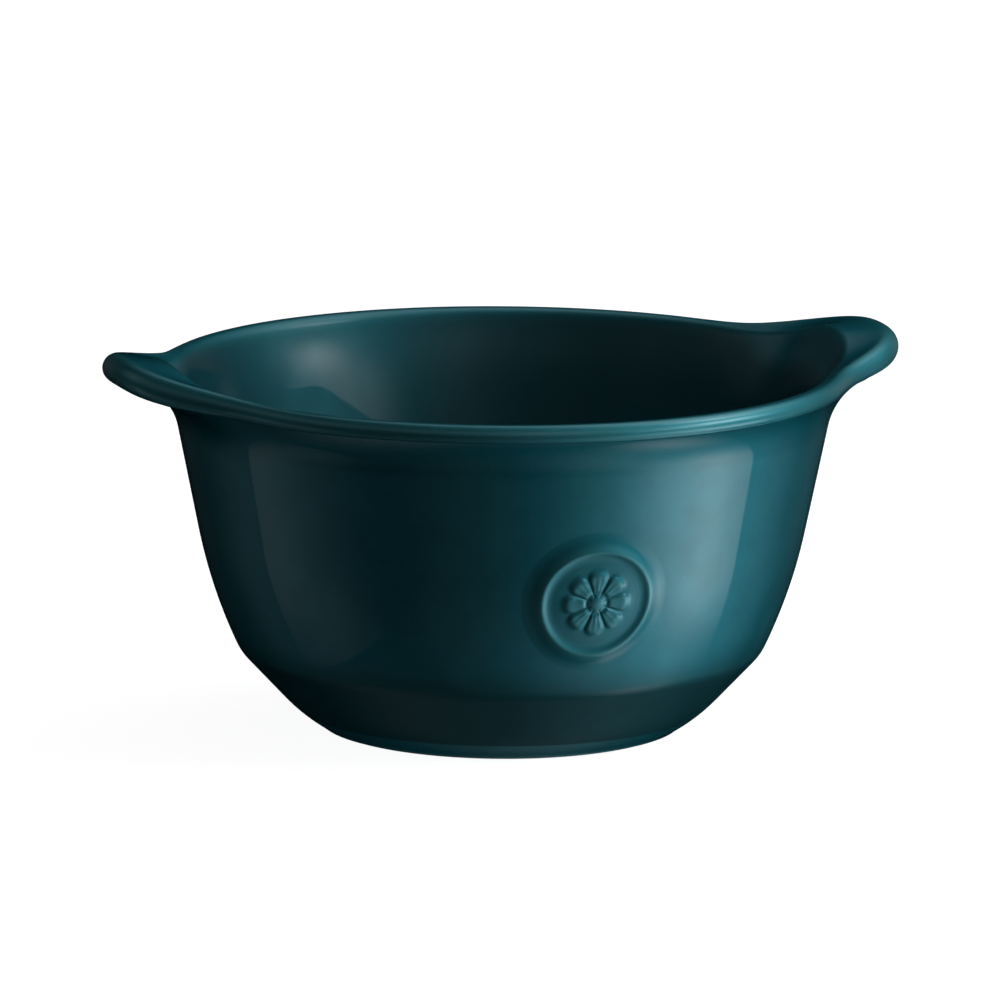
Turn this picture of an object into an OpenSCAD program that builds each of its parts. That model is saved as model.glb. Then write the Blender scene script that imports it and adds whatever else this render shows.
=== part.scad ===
// Onion soup bowl of glazed stoneware with two lug handles, in millimetres, +Z up.
// The origin is at the centre of the foot, on the table. The lugs lie along X and the
// medallion faces -Y. The real bowl is fired in one piece, so the pieces here are the forms
// that it is made up of: they meet face to face and nothing between them moves.

/* [Rim] */
// Diameter over the rolled rim, without the lugs
rim_d = 145; // [136:0.5:154]
// Height of the rim's crest above the table
rim_h = 76; // [70:0.5:84]
// Thickness of the rolled rim and of the lugs
lip_t = 6.2; // [4.6:0.1:7.4]
// How far the rolled rim stands out from the wall
lip_out = 3.1; // [2.4:0.1:4]
// Radius of the crown, which turns the rolled rim over into the bowl
crown_r = 5; // [4:0.1:6]
// How far in from the middle of the rim's outer round its underside starts
root_in = 3; // [2:0.1:3.8]
// How far below the middle of the outer round that start lies
root_drop = 0.5; // [0.2:0.1:1]
// Radius of the cove under the rolled rim and under the lugs
cove_r = 10.5; // [8:0.1:12]
// Height of the rolled rim from its crest down to its joint with the wall
collar_h = 14; // [13:0.1:16]

/* [Wall] */
// Thickness of the wall
wall_t = 4.8; // [3.6:0.1:5.6]
// Lean of the upper wall from upright, in degrees
wall_lean = 11.5; // [9:0.5:14]
// Height at which the straight upper wall turns into the belly
belly_h = 42; // [38:0.5:46]
// Radius of the belly's curve, seen from the side
belly_r = 108; // [92:1:130]
// Height at which the belly and the bevel below it would meet in a sharp edge
bevel_h = 16.6; // [16:0.1:18]
// Radius that softens that edge
edge_r = 10.5; // [6:0.1:14]
// Slope of the bevel, in degrees from level
bevel_slope = 46.8; // [44:0.1:50]
// Radius of the curve from the bevel to the foot
base_r = 37; // [30:0.5:42]
// Slope of that curve where it leaves the foot, in degrees from level
base_slope = 28; // [18:0.5:34]

/* [Floor and foot] */
// Width of the foot's rest face
foot_w = 6; // [4:0.1:9]
// Height of the foot, which is the depth of the recess inside it
foot_h = 1.6; // [1:0.1:2.6]
// Thickness of the floor
floor_t = 5.6; // [4.6:0.1:7]
// Radius between the inner wall and the floor
floor_r = 38; // [32:0.5:42]

/* [Lugs] */
// How far a lug stands out from the rolled rim
lug_reach = 12.3; // [8:0.1:16]
// How far a lug's edge rises above the rolled rim
lug_lift = 5.3; // [3:0.1:7]
// Angle from a lug's middle to the shoulder where its width falls away, in degrees
lug_half = 17.8; // [14:0.1:19]
// Angle from a lug's middle to its joint with the rolled rim, in degrees
lug_span = 38; // [36:0.5:42]
// Fullness of a lug seen from above: 2 is a plain bell, more is squarer
lug_full = 3.1; // [2.6:0.1:4]
// Fullness of a lug's rise seen from the side
lift_full = 2.25; // [1.8:0.05:3]
// How far a lug's inner edge stands out from the rolled rim's inner edge
dish_out = 5.5; // [3:0.1:6]
// How far a lug's inner edge rises above the rolled rim's inner edge
dish_up = 4.5; // [2:0.1:5]
// How much further than the wall the bowl leans out below a lug's inner edge, in degrees
dish_lean = 28; // [15:1:32]

/* [Medallion] */
// Height of the medallion's middle above the table
medal_h = 37.5; // [34:0.5:42]
// Diameter of the medallion's ring, over its crest
medal_d = 22.8; // [18:0.1:26]
// Height of the ring above the wall
ring_t = 0.9; // [0.5:0.05:1.4]
// Width of the ring's outer slope
ring_out = 2; // [1.2:0.1:2.6]
// Width of the ring's inner slope
ring_in = 1.1; // [0.7:0.1:1.6]
// Diameter of the rosette inside the ring
rosette_d = 15.4; // [11:0.1:15.6]
// Number of the rosette's petals
petals = 8; // [5:1:12]
// Thickness of the rosette at its edge
leaf_t = 0.25; // [0.15:0.05:0.4]
// Height of the petals above that edge
petal_t = 0.6; // [0.3:0.05:0.9]
// Diameter of the rosette's middle
boss_d = 3.8; // [2.8:0.1:4.6]
// Height of the rosette's middle above its edge
boss_t = 0.8; // [0.4:0.05:1.1]
// Bed of slip between the wall and what is set on it
bed_t = 0.03; // [0.02:0.01:0.06]

/* [Hidden] */
glaze = [0.07, 0.30, 0.34];
glaze_light = [0.10, 0.38, 0.42];
glaze_relief = [0.16, 0.46, 0.50];
bare_clay = [0.80, 0.74, 0.66];

// Counts of steps along the curves
arc_steps = 10;
nose_steps = 12;
cove_steps = 6;
throat_steps = 6;
plain_steps = 1;
belly_steps = 14;
lug_steps = 30;
ring_steps = 64;
bead_steps = 8;
bead_back_steps = 3;
petal_steps = 6;
petal_rings = 7;
turn_fn = 180;
// Shares that shape the rosette: how deep its outline is notched between two petals, how
// sharply a petal falls to its sides, and how full it is along its length
notch_share = 0.16;
side_share = 0.6;
length_share = 0.7;
// Shares of the throat's length over which its curve keeps its direction at each end
throat_low = 0.45;
throat_high = 0.3;

full_turn = 360;
half_turn = 180;
quarter_turn = 90;

// The rolled rim: its outer round is a nose, its inner round is the crown
rim_r = rim_d / 2;
nose_r = lip_t / 2;
nose_at = [rim_r - nose_r, rim_h - nose_r];
seat_h = rim_h - collar_h;
floor_h = foot_h + floor_t;

// Radius of the straight upper wall, outside and inside, at a height
function line_r(z) = rim_r - lip_out + (z - nose_at[1]) * tan(wall_lean);
function inner_r(z) = line_r(z) - wall_t / cos(wall_lean);

// The belly's curve is tangent to the straight wall at belly_h
belly_at = [line_r(belly_h) - belly_r * cos(wall_lean), belly_h + belly_r * sin(wall_lean)];

// Radius of the outer wall at a height above the bevel's edge
function wall_r(z) =
    z > belly_h ? line_r(z) : belly_at[0] + sqrt(pow(belly_r, 2) - pow(z - belly_at[1], 2));

// Lean of the outer wall from upright, in degrees, at the same height
function lean_at(z) = z > belly_h ? wall_lean : asin((belly_at[1] - z) / belly_r);

// A round stretch of an outline, from one angle to another
function arc(at, r, from, to, steps) =
    [for (i = [0:steps]) at + r * [cos(from + (to - from) * i / steps), sin(from + (to - from) * i / steps)]];

// The bevel runs down and in from the belly, into a tangent curve that ends on the table
bevel_along = [cos(bevel_slope), sin(bevel_slope)];
bevel_low = base_r * (cos(base_slope) - cos(bevel_slope));
bevel_from = [wall_r(bevel_h) - (bevel_h - bevel_low) / tan(bevel_slope), bevel_low];
base_at = bevel_from + base_r * [-sin(bevel_slope), cos(bevel_slope)];
foot_r = base_at[0] + base_r * sin(base_slope);
foot_top_slope = acos((base_at[1] - foot_h) / base_r);

// The soft edge is a circle that touches the bevel and the belly's curve from inside
edge_from = bevel_from + edge_r * [-sin(bevel_slope), cos(bevel_slope)] - belly_at;
edge_dot = edge_from * bevel_along;
edge_run = sqrt(pow(edge_dot, 2) - edge_from * edge_from + pow(belly_r - edge_r, 2)) - edge_dot;
edge_at = edge_from + edge_run * bevel_along + belly_at;
edge_angle = atan2(edge_at[1] - belly_at[1], edge_at[0] - belly_at[0]);

// The hollow between the inner wall and the floor
hollow_z = floor_h + floor_r;
hollow_at = [inner_r(hollow_z) - floor_r / cos(wall_lean), hollow_z];

body_outline = concat(
    [[0, foot_h]],
    arc(base_at, base_r, foot_top_slope - quarter_turn, bevel_slope - quarter_turn, arc_steps),
    arc(edge_at, edge_r, bevel_slope - quarter_turn, edge_angle, arc_steps),
    arc(belly_at, belly_r, edge_angle, -wall_lean, belly_steps),
    [[line_r(seat_h), seat_h], [inner_r(seat_h), seat_h]],
    arc(hollow_at, floor_r, -wall_lean, -quarter_turn, belly_steps),
    [[0, floor_h]]);

foot_outline = concat(
    [[foot_r - foot_w, foot_h], [foot_r - foot_w, 0]],
    arc(base_at, base_r, base_slope - quarter_turn, foot_top_slope - quarter_turn, cove_steps));

// How much of a lug's reach or lift there is at an angle from its middle, from 1 to 0
function bell(angle, full) = exp(-pow(abs(angle) / lug_half, full));
function swell(angle, full) = (bell(angle, full) - bell(lug_span, full)) / (1 - bell(lug_span, full));

// Centre of the crown at the plain rim: it touches the inner wall's line, and the nose from
// outside
wall_run = [tan(wall_lean), 1];
crown_lead = [inner_r(nose_at[1]) + crown_r / cos(wall_lean), nose_at[1]] - nose_at;
crown_dot = crown_lead * wall_run;
crown_part = wall_run * wall_run * (crown_lead * crown_lead - pow(crown_r - nose_r, 2));
crown_fall = (-crown_dot - sqrt(max(0, pow(crown_dot, 2) - crown_part))) / (wall_run * wall_run);
crown_at = nose_at + crown_lead + crown_fall * wall_run;

// The underside runs beside the line from the root to the nose
root_at = nose_at - [root_in, root_drop];

// Points on a curve from one point to another, with the directions in degrees that it has
// there and the shares of its length over which it keeps them
function bend(from, from_way, from_share, to, to_way, to_share, steps) =
    let (size = norm(to - from),
         low = from + size * from_share * [cos(from_way), sin(from_way)],
         high = to - size * to_share * [cos(to_way), sin(to_way)])
    [for (i = [0:steps])
        let (t = i / steps, u = 1 - t)
        pow(u, 3) * from + 3 * pow(u, 2) * t * low + 3 * u * pow(t, 2) * high + pow(t, 3) * to];

// Centre of the cove. Its line runs beside the wall, cove_r away from it. Where the lug's
// flat underside is long enough the cove touches that, and otherwise it touches the nose.
cove_line_at = [rim_r - lip_out + cove_r / cos(wall_lean), nose_at[1]];
function cove_on_flat(below) =
    cove_line_at + (nose_r + cove_r - (cove_line_at - root_at) * below) / (wall_run * below) * wall_run;
function cove_on_nose(nose) =
    let (lead = cove_line_at - nose, a = wall_run * wall_run, b = lead * wall_run,
         c = lead * lead - pow(nose_r + cove_r, 2))
    cove_line_at + (-b - sqrt(b * b - a * c)) / a * wall_run;

// Outline of the rim's section at an angle from a lug's middle: from the wall joint inside up
// the throat in a number of steps, over the crown and the nose, and down the cove to the wall
// joint outside. The dish is the hollow of a lug's top, whose rise falls off sooner than the
// lug's own. Where there is no lug the throat is straight.
function rim_section(angle, steps) =
    let (out = swell(angle, lug_full),
         up = swell(angle, lift_full),
         nose = nose_at + [lug_reach * out, lug_lift * up],
         crown = crown_at + [dish_out * out, dish_up * pow(up, 2)],
         top = nose - crown,
         tilt = atan2(top[1], top[0]) - asin(min(1, (crown_r - nose_r) / norm(top))),
         lean = wall_lean + dish_lean * out,
         reach = norm(nose - root_at),
         along = (nose - root_at) / reach,
         below = [along[1], -along[0]],
         flat_cove = cove_on_flat(below),
         on_flat = (flat_cove - root_at) * along < reach,
         cove = on_flat ? flat_cove : cove_on_nose(nose),
         turn = on_flat ? atan2(along[1], along[0]) - quarter_turn : atan2(cove[1] - nose[1], cove[0] - nose[0]),
         over = arc(crown, crown_r, half_turn - lean, quarter_turn + tilt, cove_steps),
         outer = arc(nose, nose_r, quarter_turn + tilt, turn, nose_steps))
    concat(
        bend([inner_r(seat_h), seat_h], quarter_turn - wall_lean, throat_low,
             over[0], quarter_turn - lean, throat_high, steps),
        [for (i = [1:cove_steps]) over[i]],
        [for (i = [1:nose_steps]) outer[i]],
        arc(cove, cove_r, turn + half_turn, half_turn - wall_lean, cove_steps),
        [[line_r(seat_h), seat_h]]);

// A closed solid through a list of closed outlines that all have as many points
module loft(rings) {
    count = len(rings[0]);
    last = len(rings) - 1;
    polyhedron(
        points = [for (ring = rings) each ring],
        faces = concat(
            [[for (k = [0:count - 1]) k]],
            [for (j = [0:last - 1], k = [0:count - 1])
                [j * count + k, (j + 1) * count + k, (j + 1) * count + (k + 1) % count, j * count + (k + 1) % count]],
            [[for (k = [count - 1:-1:0]) last * count + k]]),
        convexity = 6);
}

// One stretch of rim with its lug, round the +X direction
module lug() {
    loft([for (j = [0:lug_steps])
        let (angle = lug_span * (2 * j / lug_steps - 1))
        [for (p = rim_section(angle, throat_steps)) [p[0] * cos(angle), p[0] * sin(angle), p[1]]]]);
}

// A place on the front of the wall: across and up from the medallion's middle, and proud of it
function on_wall(across, up, proud) =
    let (z = medal_h + up * cos(lean_at(medal_h)),
         r = wall_r(z) + proud * cos(lean_at(z)),
         turn = across / wall_r(medal_h) * half_turn / PI)
    [r * sin(turn), -r * cos(turn), z - proud * sin(lean_at(z))];

// Floor, belly and wall in one turned form, open at the top
module bowl_body() {
    color(glaze) rotate_extrude($fn = turn_fn) polygon(body_outline);
}

// The rolled rim between the lugs: one stretch in front and one behind
module rolled_rim() {
    color(glaze_light)
        for (side = [0, half_turn])
            rotate([0, 0, side + lug_span])
                rotate_extrude(angle = half_turn - 2 * lug_span, $fn = turn_fn)
                    polygon(rim_section(lug_span, plain_steps));
}

module left_lug() {
    color(glaze_relief) rotate([0, 0, half_turn]) lug();
}

module right_lug() {
    color(glaze_relief) lug();
}

// The foot is left bare where it rests, round a shallow recess
module foot_ring() {
    color(bare_clay) rotate_extrude($fn = turn_fn) polygon(foot_outline);
}

// A raised bead, wrapped on the wall, with its steeper slope on the inside
module medallion_ring() {
    bead = concat(
        [for (i = [0:bead_steps])
            let (turn = half_turn * i / bead_steps, wide = turn < quarter_turn ? ring_out : ring_in)
            [wide * cos(turn), bed_t + ring_t * sin(turn)]],
        [for (i = [1:bead_back_steps - 1])
            [-ring_in + (ring_in + ring_out) * i / bead_back_steps, bed_t]]);
    count = len(bead);
    color(glaze_relief)
        polyhedron(
            points = [for (j = [0:ring_steps - 1], p = bead)
                let (turn = full_turn * j / ring_steps, r = medal_d / 2 + p[0])
                on_wall(r * cos(turn), r * sin(turn), p[1])],
            faces = [for (j = [0:ring_steps - 1], k = [0:count - 1])
                let (next = (j + 1) % ring_steps)
                [j * count + k, j * count + (k + 1) % count, next * count + (k + 1) % count, next * count + k]],
            convexity = 4);
}

// Height of the rosette above its bed, at a share of the way out and an angle
function relief(share, turn) =
    let (out = share * rosette_d / 2,
         petal = petal_t * pow(abs(cos(petals * turn / 2)), side_share) * pow(sin(half_turn * share), length_share),
         boss = boss_t * sqrt(max(0, 1 - pow(2 * out / boss_d, 2))))
    leaf_t + max(petal, boss);

// A small rosette in low relief in the middle of the ring, wrapped on the wall
module medallion_rosette() {
    spokes = petals * petal_steps;
    rings = petal_rings;
    function out_to(turn) = rosette_d / 2 * (1 - notch_share * (1 - abs(cos(petals * turn / 2))));
    function place(j, k, top) =
        let (turn = full_turn * k / spokes, share = j / rings, r = share * out_to(turn))
        on_wall(r * cos(turn), r * sin(turn), bed_t + (top ? relief(share, turn) : 0));
    side = rings * spokes;
    color(glaze_relief)
        polyhedron(
            points = concat(
                [for (j = [1:rings], k = [0:spokes - 1]) place(j, k, true)],
                [for (j = [1:rings], k = [0:spokes - 1]) place(j, k, false)],
                [place(0, 0, true), place(0, 0, false)]),
            faces = concat(
                [for (j = [0:rings - 2], k = [0:spokes - 1])
                    let (n = (k + 1) % spokes)
                    [j * spokes + k, j * spokes + n, (j + 1) * spokes + n, (j + 1) * spokes + k]],
                [for (j = [0:rings - 2], k = [0:spokes - 1])
                    let (n = (k + 1) % spokes)
                    [side + (j + 1) * spokes + k, side + (j + 1) * spokes + n, side + j * spokes + n,
                     side + j * spokes + k]],
                [for (k = [0:spokes - 1])
                    let (n = (k + 1) % spokes, edge = (rings - 1) * spokes)
                    [edge + k, edge + n, side + edge + n, side + edge + k]],
                [for (k = [0:spokes - 1]) [2 * side, (k + 1) % spokes, k]],
                [for (k = [0:spokes - 1]) [2 * side + 1, side + k, side + (k + 1) % spokes]]),
            convexity = 4);
}

bowl_body();
rolled_rim();
left_lug();
right_lug();
foot_ring();
medallion_ring();
medallion_rosette();
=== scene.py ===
"""A glazed stoneware onion soup bowl with two lug handles, dressed over its CAD solids.

Lengths are in metres and angles in degrees unless a name says otherwise. The frame is the
CAD's own: the origin is at the centre of the foot on the table, +Z is up, the lugs lie
along X and the medallion faces -Y.
"""

import logging
import math
from collections.abc import Callable, Sequence
from dataclasses import dataclass
from enum import Enum

import bpy
from mathutils import Matrix, Vector, noise

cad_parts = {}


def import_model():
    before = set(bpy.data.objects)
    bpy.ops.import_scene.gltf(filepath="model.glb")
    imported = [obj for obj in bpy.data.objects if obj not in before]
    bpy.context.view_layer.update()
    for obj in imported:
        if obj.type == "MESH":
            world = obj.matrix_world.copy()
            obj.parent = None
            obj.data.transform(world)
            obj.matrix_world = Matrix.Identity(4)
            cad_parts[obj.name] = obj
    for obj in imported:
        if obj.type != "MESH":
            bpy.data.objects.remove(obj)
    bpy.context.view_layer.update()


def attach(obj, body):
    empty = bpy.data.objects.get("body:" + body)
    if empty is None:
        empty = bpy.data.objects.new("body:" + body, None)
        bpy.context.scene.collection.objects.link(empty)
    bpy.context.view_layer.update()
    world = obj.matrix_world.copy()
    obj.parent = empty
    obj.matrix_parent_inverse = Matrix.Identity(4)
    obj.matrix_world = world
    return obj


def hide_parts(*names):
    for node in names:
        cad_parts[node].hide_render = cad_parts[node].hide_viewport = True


LOG = logging.getLogger("soup_bowl")
MM = 0.001
BODY = "root"
FLAT_TOP = 0.0004
CREST_OFFSETS_MM = (
    -2.6, -2.2, -1.8, -1.5, -1.25, -1.05, -0.9, -0.75, -0.62, -0.5, -0.4, -0.3, -0.22, -0.14,
    -0.07, 0, 0.07, 0.14, 0.22, 0.3, 0.4, 0.52, 0.66, 0.82, 1.0, 1.2, 1.45, 1.75, 2.1, 2.5, 3.0,
    3.6, 4.2,
)

Point = tuple[float, float]
Place = tuple[float, float, float]
Colour = tuple[float, float, float, float]
Feed = bpy.types.NodeSocket | Colour | float


class Slot(Enum):
    """The material slots of the record."""

    GLAZE = "teal_glaze"
    CLAY = "bare_clay"


class Layer(Enum):
    """The numbers that a mesh carries for its material, one per point."""

    THIN = "glaze_thin"
    # Mask of the painted shade: a darker glaze inside the bowl and on the bevel below.
    PAINTED_SHADE = "glaze_painted_shade"


class Coat(Enum):
    """How the glaze lies on a stretch of the outline, from pooled to thin."""

    POOLED = -0.7
    EVEN = 0.0
    SOFT_EDGE = 0.45
    THIN = 1.0


def bell(off: float, width: float) -> float:
    """Gives the height of a bell curve, 1 in its middle."""
    return math.exp(-((off / width) ** 2))


def on_round(at: Point, radius: float, angle: float) -> Point:
    """Gives the point of a round at an angle."""
    turn = math.radians(angle)
    return at[0] + radius * math.cos(turn), at[1] + radius * math.sin(turn)


def arc(at: Point, radius: float, start: float, end: float, steps: int) -> list[Point]:
    """Gives the points along a round stretch of an outline.

    Args:
        at: Centre of the round.
        radius: Its radius.
        start: Angle of the first point.
        end: Angle of the last point.
        steps: Number of stretches between the points.

    Returns:
        The points, from the first to the last.
    """
    return [on_round(at, radius, start + (end - start) * i / steps) for i in range(steps + 1)]


def line(start: Point, end: Point, steps: int) -> list[Point]:
    """Gives the points strictly between two ends of a straight stretch.

    Args:
        start: One end.
        end: The other end.
        steps: Number of stretches between the ends.

    Returns:
        The points between the ends, without them.
    """
    shares = [i / steps for i in range(1, steps)]
    return [(start[0] + (end[0] - start[0]) * s, start[1] + (end[1] - start[1]) * s) for s in shares]


@dataclass(frozen=True)
class Steps:
    """Into how many stretches each part of the bowl's outline is cut."""

    recess: int = 14
    recess_round: int = 6
    bead: int = 5
    seam: int = 6
    base: int = 22
    bevel: int = 8
    edge: int = 14
    belly: int = 26
    wall: int = 18
    cove: int = 20
    lip: int = 6
    nose: int = 26
    rim_top: int = 8
    crown: int = 16
    throat: int = 14
    hollow_wall: int = 12
    hollow: int = 34
    floor: int = 10


@dataclass(frozen=True)
class RimRounds:
    """The rounds of the rim's section at one angle: crown, nose and cove."""

    crown: Point
    nose: Point
    cove: Point
    nose_radius: float
    cove_radius: float
    tilt: float
    turn: float
    lean: float


@dataclass(frozen=True)
class BowlOutline:
    """The bowl's outline at any angle round it: foot, belly, wall, rolled rim, lugs and hollow."""

    rim_radius: float = 72.5 * MM
    rim_height: float = 76 * MM
    nose_radius: float = 3.1 * MM
    lip_out: float = 3.1 * MM
    lip_radius: float = 2.1 * MM
    lip_back: float = 0.5 * MM
    lip_cove: float = 16 * MM
    crown_radius: float = 3.3 * MM
    crown_at: Point = (69.35 * MM, 72.7 * MM)
    root_in: float = 3 * MM
    root_drop: float = 0.5 * MM
    cove_radius: float = 10.5 * MM
    wall_thickness: float = 4.8 * MM
    wall_lean: float = 11.5
    belly_height: float = 42 * MM
    belly_radius: float = 108 * MM
    bevel_height: float = 16.6 * MM
    edge_radius: float = 10.5 * MM
    bevel_slope: float = 46.8
    base_radius: float = 37 * MM
    base_slope: float = 28
    foot_width: float = 6 * MM
    foot_height: float = 1.6 * MM
    recess_round: float = 0.85 * MM
    recess_gap: float = 0.35 * MM
    glaze_end: float = 0.45 * MM
    glaze_bead: float = 0.22 * MM
    floor_height: float = 7.2 * MM
    floor_radius: float = 38 * MM
    lug_reach: float = 12.3 * MM
    lug_lift: float = 5.3 * MM
    lug_half: float = 17.8
    lug_span: float = 38
    lug_full: float = 3.1
    lift_full: float = 2.25
    dish_out: float = 4.9 * MM
    dish_up: float = 4.4 * MM
    flare_height: float = 60 * MM
    lip_lean: float = 29
    lug_lean: float = 40
    throat_low: float = 0.36
    throat_high: float = 0.33
    steps: Steps = Steps()

    def line_r(self, z: float) -> float:
        """Gives the radius of the straight upper wall outside, at a height."""
        nose_z = self.rim_height - self.nose_radius
        return self.rim_radius - self.lip_out + (z - nose_z) * math.tan(math.radians(self.wall_lean))

    def inner_r(self, z: float) -> float:
        """Gives the radius of the straight upper wall inside, at a height."""
        return self.line_r(z) - self.wall_thickness / math.cos(math.radians(self.wall_lean))

    def belly_centre(self) -> Point:
        """Gives the centre of the belly's curve, which is tangent to the upper wall."""
        lean = math.radians(self.wall_lean)
        return (
            self.line_r(self.belly_height) - self.belly_radius * math.cos(lean),
            self.belly_height + self.belly_radius * math.sin(lean),
        )

    def wall_r(self, z: float) -> float:
        """Gives the radius of the outer wall at a height above the bevel."""
        if z > self.belly_height:
            return self.line_r(z)
        centre = self.belly_centre()
        return centre[0] + math.sqrt(self.belly_radius**2 - (z - centre[1]) ** 2)

    def lean_at(self, z: float) -> float:
        """Gives the lean of the outer wall from upright, in radians, at the same height."""
        if z > self.belly_height:
            return math.radians(self.wall_lean)
        return math.asin((self.belly_centre()[1] - z) / self.belly_radius)

    def base_parts(self) -> tuple[Point, Point, float]:
        """Works out the curve above the foot and the soft edge between belly and bevel.

        Returns:
            The centre of the base curve, the centre of the soft edge, and the angle at which
            the soft edge runs into the belly's curve.
        """
        slope = math.radians(self.bevel_slope)
        low = self.base_radius * (math.cos(math.radians(self.base_slope)) - math.cos(slope))
        start = (self.wall_r(self.bevel_height) - (self.bevel_height - low) / math.tan(slope), low)
        base = (
            start[0] - self.base_radius * math.sin(slope),
            start[1] + self.base_radius * math.cos(slope),
        )
        belly = self.belly_centre()
        lead = (
            start[0] - self.edge_radius * math.sin(slope) - belly[0],
            start[1] + self.edge_radius * math.cos(slope) - belly[1],
        )
        along = (math.cos(slope), math.sin(slope))
        dot = lead[0] * along[0] + lead[1] * along[1]
        gap = (self.belly_radius - self.edge_radius) ** 2 - lead[0] ** 2 - lead[1] ** 2
        run = math.sqrt(dot**2 + gap) - dot
        edge = (lead[0] + run * along[0] + belly[0], lead[1] + run * along[1] + belly[1])
        return base, edge, math.degrees(math.atan2(edge[1] - belly[1], edge[0] - belly[0]))

    def foot_radius(self) -> float:
        """Gives the foot's outer radius on the table."""
        return self.base_parts()[0][0] + self.base_radius * math.sin(math.radians(self.base_slope))

    def swell(self, angle: float, full: float) -> float:
        """Gives a lug's share of its reach or lift at an angle from its middle.

        Args:
            angle: Angle from the lug's middle.
            full: Fullness of the bell shape.

        Returns:
            A share from 1 in the middle to 0 where the plain rim starts.
        """
        here, low = (math.exp(-((abs(at) / self.lug_half) ** full)) for at in (angle, self.lug_span))
        return max(0.0, (here - low) / (1 - low))

    def rounds(self, angle: float) -> RimRounds:
        """Works out the rounds of the rim at an angle from the nearest lug's middle.

        Args:
            angle: Angle from the lug's middle.

        Returns:
            The rounds' centres and the angles at which they meet.
        """
        lean = math.radians(self.wall_lean)
        out, lift = self.swell(angle, self.lug_full), self.swell(angle, self.lift_full)
        round_nose = self.lip_radius + (self.nose_radius - self.lip_radius) * out
        round_cove = self.lip_cove + (self.cove_radius - self.lip_cove) * out
        plain = Vector((self.rim_radius - self.nose_radius, self.rim_height - self.nose_radius))
        root = plain - Vector((self.root_in, self.root_drop))
        lip_r = self.rim_radius - self.lip_back * (1 - out)
        nose = Vector((lip_r - round_nose, self.rim_height - round_nose))
        nose += Vector((self.lug_reach * out, self.lug_lift * lift))
        crown = Vector(self.crown_at) + Vector((self.dish_out * out, self.dish_up * lift**2))
        top = nose - crown
        dip = math.asin(min(1.0, (self.crown_radius - round_nose) / top.length))
        along = (nose - root).normalized()
        below = Vector((along.y, -along.x))
        run = Vector((math.tan(lean), 1.0))
        touch = round_nose + round_cove
        start = Vector((self.rim_radius - self.lip_out + round_cove / math.cos(lean), plain.y))
        cove = start + (touch - (start - root).dot(below)) / run.dot(below) * run
        turn = math.atan2(along.y, along.x) - math.pi / 2
        if (cove - root).dot(along) >= (nose - root).length:
            lead = start - nose
            a, b, c = run.dot(run), lead.dot(run), lead.dot(lead) - touch**2
            cove = start + (-b - math.sqrt(b * b - a * c)) / a * run
            turn = math.atan2(cove.y - nose.y, cove.x - nose.x)
        return RimRounds(
            crown=(crown.x, crown.y),
            nose=(nose.x, nose.y),
            cove=(cove.x, cove.y),
            nose_radius=round_nose,
            cove_radius=round_cove,
            tilt=math.degrees(math.atan2(top.y, top.x) - dip),
            turn=math.degrees(turn),
            lean=self.lip_lean + (self.lug_lean - self.lip_lean) * out,
        )

    def throat(self, end: Point, lean: float, steps: int) -> list[Point]:
        """Gives the flare of the inner wall up to the crown.

        Args:
            end: Where the crown starts.
            lean: How far the bowl leans out there.
            steps: Number of stretches between the points.

        Returns:
            The points, from the foot of the flare to the crown.
        """
        low, high = Vector((self.inner_r(self.flare_height), self.flare_height)), Vector(end)
        size = (high - low).length
        first = low + size * self.throat_low * Vector(on_round((0, 0), 1, 90 - self.wall_lean))
        second = high - size * self.throat_high * Vector(on_round((0, 0), 1, 90 - lean))
        points = []
        for i in range(steps + 1):
            t = i / steps
            at = (1 - t) ** 3 * low + 3 * (1 - t) ** 2 * t * first
            at += 3 * (1 - t) * t * t * second
            at += t**3 * high
            points.append((at.x, at.y))
        return points

    def underside(self, base: Point) -> list[tuple[list[Point], Coat]]:
        """Gives the recess, the seam over the bare foot and the curve up to the bevel.

        Args:
            base: Centre of the curve above the foot.

        Returns:
            The stretches of the outline, each with its coat.
        """
        bead, end, gap, top = self.glaze_bead, self.glaze_end, self.recess_gap, self.foot_height
        foot_out = self.foot_radius()
        foot_in = foot_out - self.foot_width
        recess_r = foot_in - gap - self.recess_round
        start = math.degrees(math.acos((base[1] - end - bead) / self.base_radius)) - 90
        low = on_round(base, self.base_radius, start)
        corner = (recess_r, top - self.recess_round)
        cut = self.steps
        return [
            ([(0.0, top)], Coat.EVEN),
            (line((0.0, top), (recess_r, top), cut.recess), Coat.EVEN),
            (arc(corner, self.recess_round, 90, 0, cut.recess_round), Coat.POOLED),
            (arc((foot_in - gap + bead, end + bead), bead, 180, 270, cut.bead), Coat.THIN),
            (line((foot_in + bead, end), (foot_out - bead, end), cut.seam), Coat.EVEN),
            (arc((low[0] - bead, end + bead), bead, 270, 330, cut.bead), Coat.THIN),
            (arc(base, self.base_radius, start + 0.4, self.bevel_slope - 90, cut.base), Coat.EVEN),
        ]

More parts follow.
